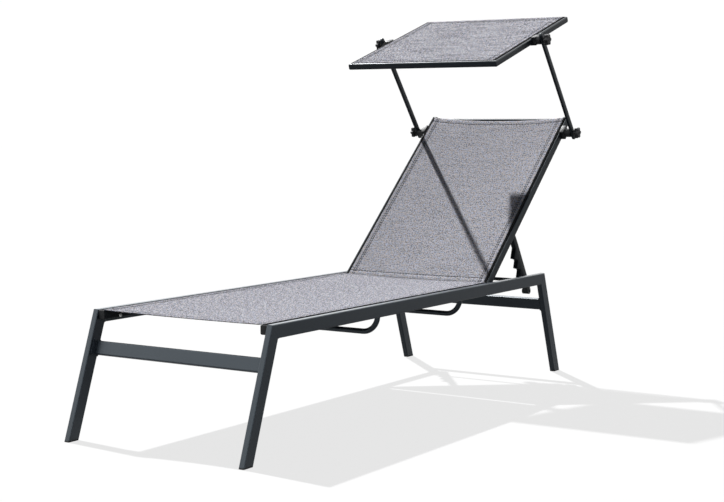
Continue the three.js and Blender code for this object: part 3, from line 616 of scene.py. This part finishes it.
def sling_fabric(name, width, length, side_welds, end_welds, mean, grain, slubs, streaks, bands):
    """The fabric of one sling; its UV map is in metres from one corner of the flat cut.

    The tone runs from dark yarn, 0, to pale yarn, 1: its mean, and how far the fine grain, the slubs along
    the sling, the streaks across it and its broad bands take it up and down.
    """
    finish = Finish(name, specular_ior_level=0.03)
    flat = finish.node("ShaderNodeUVMap", {"uv_map": "cut"}, {})
    across = finish.axis(flat, "X")
    along = finish.axis(flat, "Y")
    yarn_turn = 2 * math.pi / yarn_pitch
    warp = across.math("SINE", across * yarn_turn)
    weft = along.math("SINE", along * yarn_turn)
    weave = warp * weft
    lengthwise = finish.node("ShaderNodeCombineXYZ", {}, {0: across * 480.0, 1: along * 42.0})
    crosswise = finish.node("ShaderNodeCombineXYZ", {}, {0: across * 45.0, 1: along * 300.0})
    banded = finish.node("ShaderNodeCombineXYZ", {}, {0: across * 7.0, 1: along * 42.0})
    heather = finish.noise(flat, 230.0, 2.0, 0.8)
    tone = (
        finish.between(finish.noise(lengthwise, 1.0, 1.0), 0.3, 0.7, -slubs, slubs)
        + finish.between(finish.noise(crosswise, 1.0, 1.0), 0.3, 0.7, -streaks, streaks)
        + finish.between(finish.noise(banded, 1.0, 2.0), 0.3, 0.7, -bands, bands)
        + finish.between(heather, 0.36, 0.64, -grain, grain)
        + weave * 0.08
        + mean
    )
    from_side = across.math("MINIMUM", across, width - across)
    from_end = along.math("MINIMUM", along, length - along)
    weld = 0.0
    for distance, travel, welds in ((from_side, along, side_welds), (from_end, across, end_welds)):
        dash = finish.between(travel % dash_pitch, *dash_end, 1.0, 0.25)
        for line in welds:
            beside = distance.math("ABSOLUTE", distance - line)
            weld = finish.between(beside, *weld_edge, 1.0, 0.0) * dash + weld
    tint_share = finish.between(finish.noise(flat, 130.0, 2.0, 0.6), 0.38, 0.62, 0.0, 1.0)
    tint = finish.blend(tint_share, cool_yarn, warm_yarn)
    tinted = finish.blend(1.0, finish.blend(tone, dark_yarn, pale_yarn), tint, "MULTIPLY")
    seamed = finish.blend(weld * 0.9, tinted, weld_colour)
    # Painted shade: the cloth's last stretch before each slot is blended to near black, standing for the
    # shade of the slot.
    painted_shade = finish.between(from_side, *painted_slot_shade_edge, 1.0, 0.0)
    finish.feed("Base Color", finish.blend(painted_shade, seamed, painted_slot_shade))
    finish.feed("Roughness", 0.7 + heather * 0.16)
    finish.relief(weave * 0.6 + heather - weld * 0.8, weave_depth, 0.6)
    return finish.material


def spaced(first, last, count):
    """The places that divide a stretch into equal steps, without its two ends."""
    return [first + (last - first) * i / count for i in range(1, count)]


def held_edge(inner, mouth):
    """(place, drop) pairs out over the rail from the welds of the pocket, and down into the slot."""
    steps = (-groove_half, 0, groove_half)
    welds = [(mouth - line + step, 0) for line in reversed(pocket_welds) for step in steps]
    over = [(inner, 0), ((inner + mouth) / 2, 0)]
    down = [(mouth + x, drop) for x, drop in (*edge_turn, (0, lip_drop))]
    return sorted(welds + over) + down


def held_both_ways(inner, mouth, count):
    """(place, drop) pairs from slot to slot, with an even field between the two pockets."""
    edge = held_edge(inner, mouth)
    first = edge[0][0] - pocket_to_field
    middle = [(x, 0) for x in (-first, *spaced(-first, first, count), first)]
    return [(-x, drop) for x, drop in reversed(edge)] + middle + edge


def free_both_ways(start, end, count):
    """(place, drop) pairs from end to end: a hem folded under, its weld, even rows, and the other hem."""
    beside = [hem_weld - groove_half, hem_weld, hem_weld + groove_half, hem_weld + hem_to_field]
    hem = [*hem_turn, *((y, 0) for y in beside)]
    near = [(start + y, drop) for y, drop in hem]
    middle = [(y, 0) for y in spaced(start + beside[-1], end - beside[-1], count)]
    far = [(end - y, drop) for y, drop in reversed(hem)]
    return near + middle + far


def flat_places(places):
    """How far each row or column of a sheet is from the edge of its flat cut."""
    total = [0]
    for (a, drop_a), (b, drop_b) in zip(places, places[1:]):
        total.append(total[-1] + math.hypot(b - a, drop_b - drop_a))
    return total


def sling(name, columns, rows, shape, place, finish, body, slot, node, hem_reach=None):
    """A sling as one sheet: a grid whose corners are set by shape(x, y), turned down at its held edges.

    Past hem_reach the underside of a folded hem is cut away, so that the rails have room.
    """
    sheet = bmesh.new()
    cut = sheet.loops.layers.uv.new("cut")
    last_column = len(columns) - 1
    last_row = len(rows) - 1
    bmesh.ops.create_grid(sheet, x_segments=last_column, y_segments=last_row, size=1)
    flat_x = flat_places(columns)
    flat_y = flat_places(rows)
    spot = {}
    trimmed = []
    for corner in sheet.verts:
        column = round((corner.co.x + 1) / 2 * last_column)
        row = round((corner.co.y + 1) / 2 * last_row)
        x, drop_x = columns[column]
        y, drop_y = rows[row]
        spot[corner.index] = (flat_x[column], flat_y[row])
        corner.co = shape(x, y) - Vector((0, 0, max(drop_x, drop_y)))
        if hem_reach and abs(x) > hem_reach and drop_y > hem_fold:
            trimmed.append(corner)
    for face in sheet.faces:
        for loop in face.loops:
            loop[cut].uv = spot[loop.vert.index]
    bmesh.ops.delete(sheet, geom=trimmed, context="VERTS")
    bmesh.ops.transform(sheet, verts=sheet.verts, matrix=place)
    bmesh.ops.recalc_face_normals(sheet, faces=sheet.faces)
    if sum(face.normal.z for face in sheet.faces) < 0:
        bmesh.ops.reverse_faces(sheet, faces=sheet.faces)
    made = piece(name, sheet, finish, body, slot, node, crease=80)
    wall = made.modifiers.new("cloth", "SOLIDIFY")
    wall.thickness = cloth
    wall.offset = -1
    return made


def hollow(x, y, inner, first, last, sag, end_sag, ripples):
    """How far a sling hangs below its rails, with faint tension ripples that die out at its edges."""
    share = min(abs(x) / inner, 1)
    along = min(max((y - first) / (last - first), 0), 1)
    depth = end_sag + (sag - end_sag) * math.sin(math.pi * along)
    calm = (1 - share**4) * (0.35 + 0.65 * math.sin(math.pi * along))
    wave = noise.noise(Vector((x * ripples, y * ripples * 0.45, sag * 100)))
    return depth * (1 - share**2) + ripple * calm * wave


def welded(distance, lines, lift):
    """The lift of a doubled edge above the single cloth, with a groove along each weld."""
    raised = lift if distance < max(lines) else 0
    on_weld = any(abs(distance - line) < groove_half / 4 for line in lines)
    return raised - (groove if on_weld else 0)


field_columns = 26
field_rows = 40


def free_sling(start, end, top, inner, mouth, sags, dips, ripples):
    """The columns, rows and shape of a sling that is held at its sides and free at its ends."""
    columns = held_both_ways(inner, mouth, field_columns)
    rows = free_both_ways(start, end, field_rows)

    def shape(x, y):
        bow = 1 - (x / mouth) ** 2
        share = (y - start) / (end - start)
        shifted = y + dips[0] * bow * max(0, 1 - 2 * share) - dips[1] * bow * max(0, 2 * share - 1)
        z = top - pocket_lift - hollow(x, y, inner, start, end, *sags, ripples)
        pocket = welded(mouth - abs(x), pocket_welds, pocket_lift)
        hem = welded(min(y - start, end - y), (hem_weld,), 0)
        return Vector((x, shifted, z + pocket + hem))

    return columns, rows, shape


slot_to_mouth = -0.0006
hem_clearance = 0.003
side_welds = [line + lip_drop for line in pocket_welds]
hem_welds = [flat_places(hem_turn)[-1] + hem_weld - hem_turn[-1][0]]

seat_low, seat_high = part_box("seat_sling")
seat_slot = sum(corner.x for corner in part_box("seat_spline_right")) / 2
seat_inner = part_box("seat_sling_rail_right")[0].x
seat_clearance = 0.0002
columns, rows, shape = free_sling(
    start=seat_low.y,
    end=seat_high.y,
    top=seat_high.z - seat_clearance,
    inner=seat_inner,
    mouth=seat_slot + slot_to_mouth,
    sags=(0.009, 0.005),
    dips=(0.022, 0),
    ripples=9,
)
seat_cut = (flat_places(columns)[-1], flat_places(rows)[-1])
seat_tone = (0.39, 0.7, 0.4, 0.12, 0.05)
seat_cloth = sling_fabric("seat_sling_fabric", *seat_cut, side_welds, hem_welds, *seat_tone)
seat = sling(
    "seat_sling_cloth",
    columns,
    rows,
    shape,
    Matrix(),
    seat_cloth,
    "frame",
    "seat_fabric",
    "seat_sling",
    seat_inner - hem_clearance,
)

backrest_angle = math.radians(42.3)
backrest_place = Matrix.Translation(pivot["backrest_recline"]) @ Matrix.Rotation(backrest_angle, 4, "X")
backrest_slot = sum(corner.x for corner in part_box("backrest_spline_right")) / 2
backrest_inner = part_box("backrest_rail_right")[0].x
backrest_length = 0.801
backrest_start = -0.002
backrest_top = 0.0147
columns, rows, shape = free_sling(
    start=backrest_start,
    end=backrest_length + backrest_start,
    top=backrest_top,
    inner=backrest_inner,
    mouth=backrest_slot + slot_to_mouth,
    sags=(0.009, 0.002),
    dips=(0, 0.018),
    ripples=11,
)
backrest_cut = (flat_places(columns)[-1], flat_places(rows)[-1])
# Painted light: the backrest's cloth is given a much paler mean tone than the seat's, making up for the key
# light its steep slope turns away.
backrest_tone_painted_lighter = (0.8, 0.76, 0.2, 0.24, 0.1)
backrest_cloth = sling_fabric("backrest_sling_fabric", *backrest_cut, side_welds, hem_welds, *backrest_tone_painted_lighter)
backrest = sling(
    "backrest_sling_cloth",
    columns,
    rows,
    shape,
    backrest_place,
    backrest_cloth,
    "backrest",
    "backrest_fabric",
    "backrest_sling",
    backrest_inner - hem_clearance,
)

canopy_angle = math.radians(17.9)
canopy_place = Matrix.Translation(upper_pivot) @ Matrix.Rotation(canopy_angle, 4, "X")
canopy_middle = -0.008
canopy_tube = 0.021
canopy_half_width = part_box("canopy_side_tube_right")[1].x
canopy_half_length = 0.279
canopy_slot_inset = 0.0065
mouth_inset = canopy_slot_inset - slot_to_mouth
canopy_top = 0.0122
canopy_sag = 0.005
canopy_inner = canopy_half_width - canopy_tube
canopy_inner_y = canopy_half_length - canopy_tube
canopy_mouth = canopy_half_width - mouth_inset
canopy_mouth_y = canopy_half_length - mouth_inset
canopy_steps = 24
columns = held_both_ways(canopy_inner, canopy_mouth, canopy_steps)
canopy_rows = held_both_ways(canopy_inner_y, canopy_mouth_y, canopy_steps)
rows = [(canopy_middle + y, drop) for y, drop in canopy_rows]


def canopy_shape(x, y):
    """A shallow hollow between four tubes, with ripples, and a doubled edge all round."""
    share_x = min(abs(x) / canopy_inner, 1)
    share_y = min(abs(y - canopy_middle) / canopy_inner_y, 1)
    calm = (1 - share_x**2) * (1 - share_y**2)
    wave = noise.noise(Vector((x * 10, y * 10, 4)))
    edges = (canopy_mouth - abs(x), canopy_mouth_y - abs(y - canopy_middle))
    lift = max(welded(distance, pocket_welds, pocket_lift) for distance in edges)
    return Vector((x, y, canopy_top - canopy_sag * calm + ripple * calm * wave - pocket_lift + lift))


canopy_cut = (flat_places(columns)[-1], flat_places(rows)[-1])
canopy_tone = (0.43, 0.9, 0.5, 0.16, 0.2)
canopy_cloth = sling_fabric("canopy_sling_fabric", *canopy_cut, side_welds, side_welds, *canopy_tone)
canopy = sling(
    "canopy_sling_cloth",
    columns,
    rows,
    canopy_shape,
    canopy_place,
    canopy_cloth,
    "canopy",
    "canopy_fabric",
    "canopy_sling",
)
spline_cord = moulding("spline_cord", colour(42, 43, 46), 0.6)
give(spline_cord, *sides("seat_spline", "backrest_spline"), "canopy_spline")


# Bolts and bushes: the backrest turns on two shouldered bolts and the racks on two more, zinc-plated like
# the screws. Turned bushes of grey nylon keep the metal parts from rubbing.
give(steel, *sides("pivot_bolt", "prop_bolt"))
give(nylon, *sides("pivot_bush", "prop_bush"))


# Studio: a plain pale floor, a key light from behind on the left that casts the far arm's shadow down the
# backrest, and two broad faint fills. The surroundings show only to the camera and in reflections, and the
# floor sends little light back up, so that the shadows on the cloth stay deep.
floor_reach = 30
floor_shape = bmesh.new()
bmesh.ops.create_grid(floor_shape, x_segments=1, y_segments=1, size=floor_reach)
floor_mesh = bpy.data.meshes.new("floor")
floor_shape.to_mesh(floor_mesh)
floor_shape.free()
floor = bpy.data.objects.new("floor", floor_mesh)
bpy.context.scene.collection.objects.link(floor)
floor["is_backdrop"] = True
ground = Finish("pale_floor", roughness=0.9, specular_ior_level=0.1)
floor_mesh.materials.append(ground.material)


def backdrop_level(nodes, behind, above):
    """1 where the camera looks, the level of the reflected surroundings in reflections, and 0 as light."""
    rays = ("Is Camera Ray", "Is Glossy Ray", "Is Transmission Ray")
    camera_ray, glossy_ray, passing_ray = (nodes.node("ShaderNodeLightPath", {}, {}, ray) for ray in rays)
    reflected = glossy_ray * (behind + above)
    return camera_ray.math("MAXIMUM", camera_ray, reflected.math("MAXIMUM", reflected, passing_ray))


def fading(nodes, axis, place, low, high, to_low, to_high):
    """A level that changes along one axis of the backdrop."""
    spot = nodes.node("ShaderNodeTexCoord", {}, {}, place)
    where = nodes.node("ShaderNodeSeparateXYZ", {}, {0: spot}, axis)
    bounds = dict(enumerate((where, low, high, to_low, to_high)))
    return nodes.node("ShaderNodeMapRange", {"clamp": True}, bounds)


dim_horizon = 0.3
near_floor = 0.75
bright_ceiling = 1.8
floor_fade = (-1.2, 0.0)
horizon_fade = (-0.3, 0.3)
ceiling_fade = (0.03, 0.36)
bounced = ground.node("ShaderNodeLightPath", {}, {}, "Is Diffuse Ray")
pale_ground = colour(212, 212, 212)
soft_bounce = colour(85, 85, 85)
ground.feed("Base Color", ground.blend(bounced, pale_ground, soft_bounce))
reflected_floor = fading(ground, "Y", "Object", *floor_fade, near_floor, dim_horizon)
shown = backdrop_level(ground, reflected_floor, 0.0)
glow = ground.blend(shown, colour(0, 0, 0), colour(255, 255, 255))
white = ground.node("ShaderNodeEmission", {}, {"Color": glow, "Strength": 1.0})
shadow_share = 0.22
lit_share = shown.math("GREATER_THAN", shown, 0.0) * (1 - shadow_share)
mixed = ground.node("ShaderNodeMixShader", {}, {0: lit_share})
ground.tree.links.new(ground.shader.outputs[0], mixed.socket.node.inputs[1])
ground.tree.links.new(white.socket, mixed.socket.node.inputs[2])
ground.tree.links.new(mixed.socket, ground.tree.nodes["Material Output"].inputs["Surface"])

world = bpy.data.worlds.new("studio")
bpy.context.scene.world = world
world.use_nodes = True
backdrop = Nodes(world.node_tree)
room_light = 0.015
horizon = fading(backdrop, "X", "Generated", *horizon_fade, 1.0, dim_horizon)
ceiling = fading(backdrop, "Z", "Generated", *ceiling_fade, 0.0, bright_ceiling)
level = backdrop_level(backdrop, horizon, ceiling) + room_light
sky = world.node_tree.nodes["Background"]
sky.inputs["Color"].default_value = (1, 1, 1, 1)
world.node_tree.links.new(level.socket, sky.inputs["Strength"])


def distant_lamp(name, travel, strength, spread, tint=(1, 1, 1)):
    """A lamp far away whose light travels along a direction; at strength 1 a white that faces it is white."""
    light = bpy.data.lights.new(name, "SUN")
    light.energy = strength * math.pi
    light.angle = math.radians(spread)
    light.color = tint
    lamp = bpy.data.objects.new(name, light)
    lamp.rotation_euler = Vector(travel).to_track_quat("-Z", "Y").to_euler()
    bpy.context.scene.collection.objects.link(lamp)


distant_lamp("key", (0.593, -0.325, -0.737), 2.0, 1.2)
distant_lamp("front_fill", (-0.15, 0.97, -0.1), 0.03, 60, (0.72, 0.86, 1.0))
distant_lamp("right_fill", (-0.9, 0.35, -0.25), 0.035, 60)

bpy.context.scene.view_settings.view_transform = "Standard"
low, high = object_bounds()
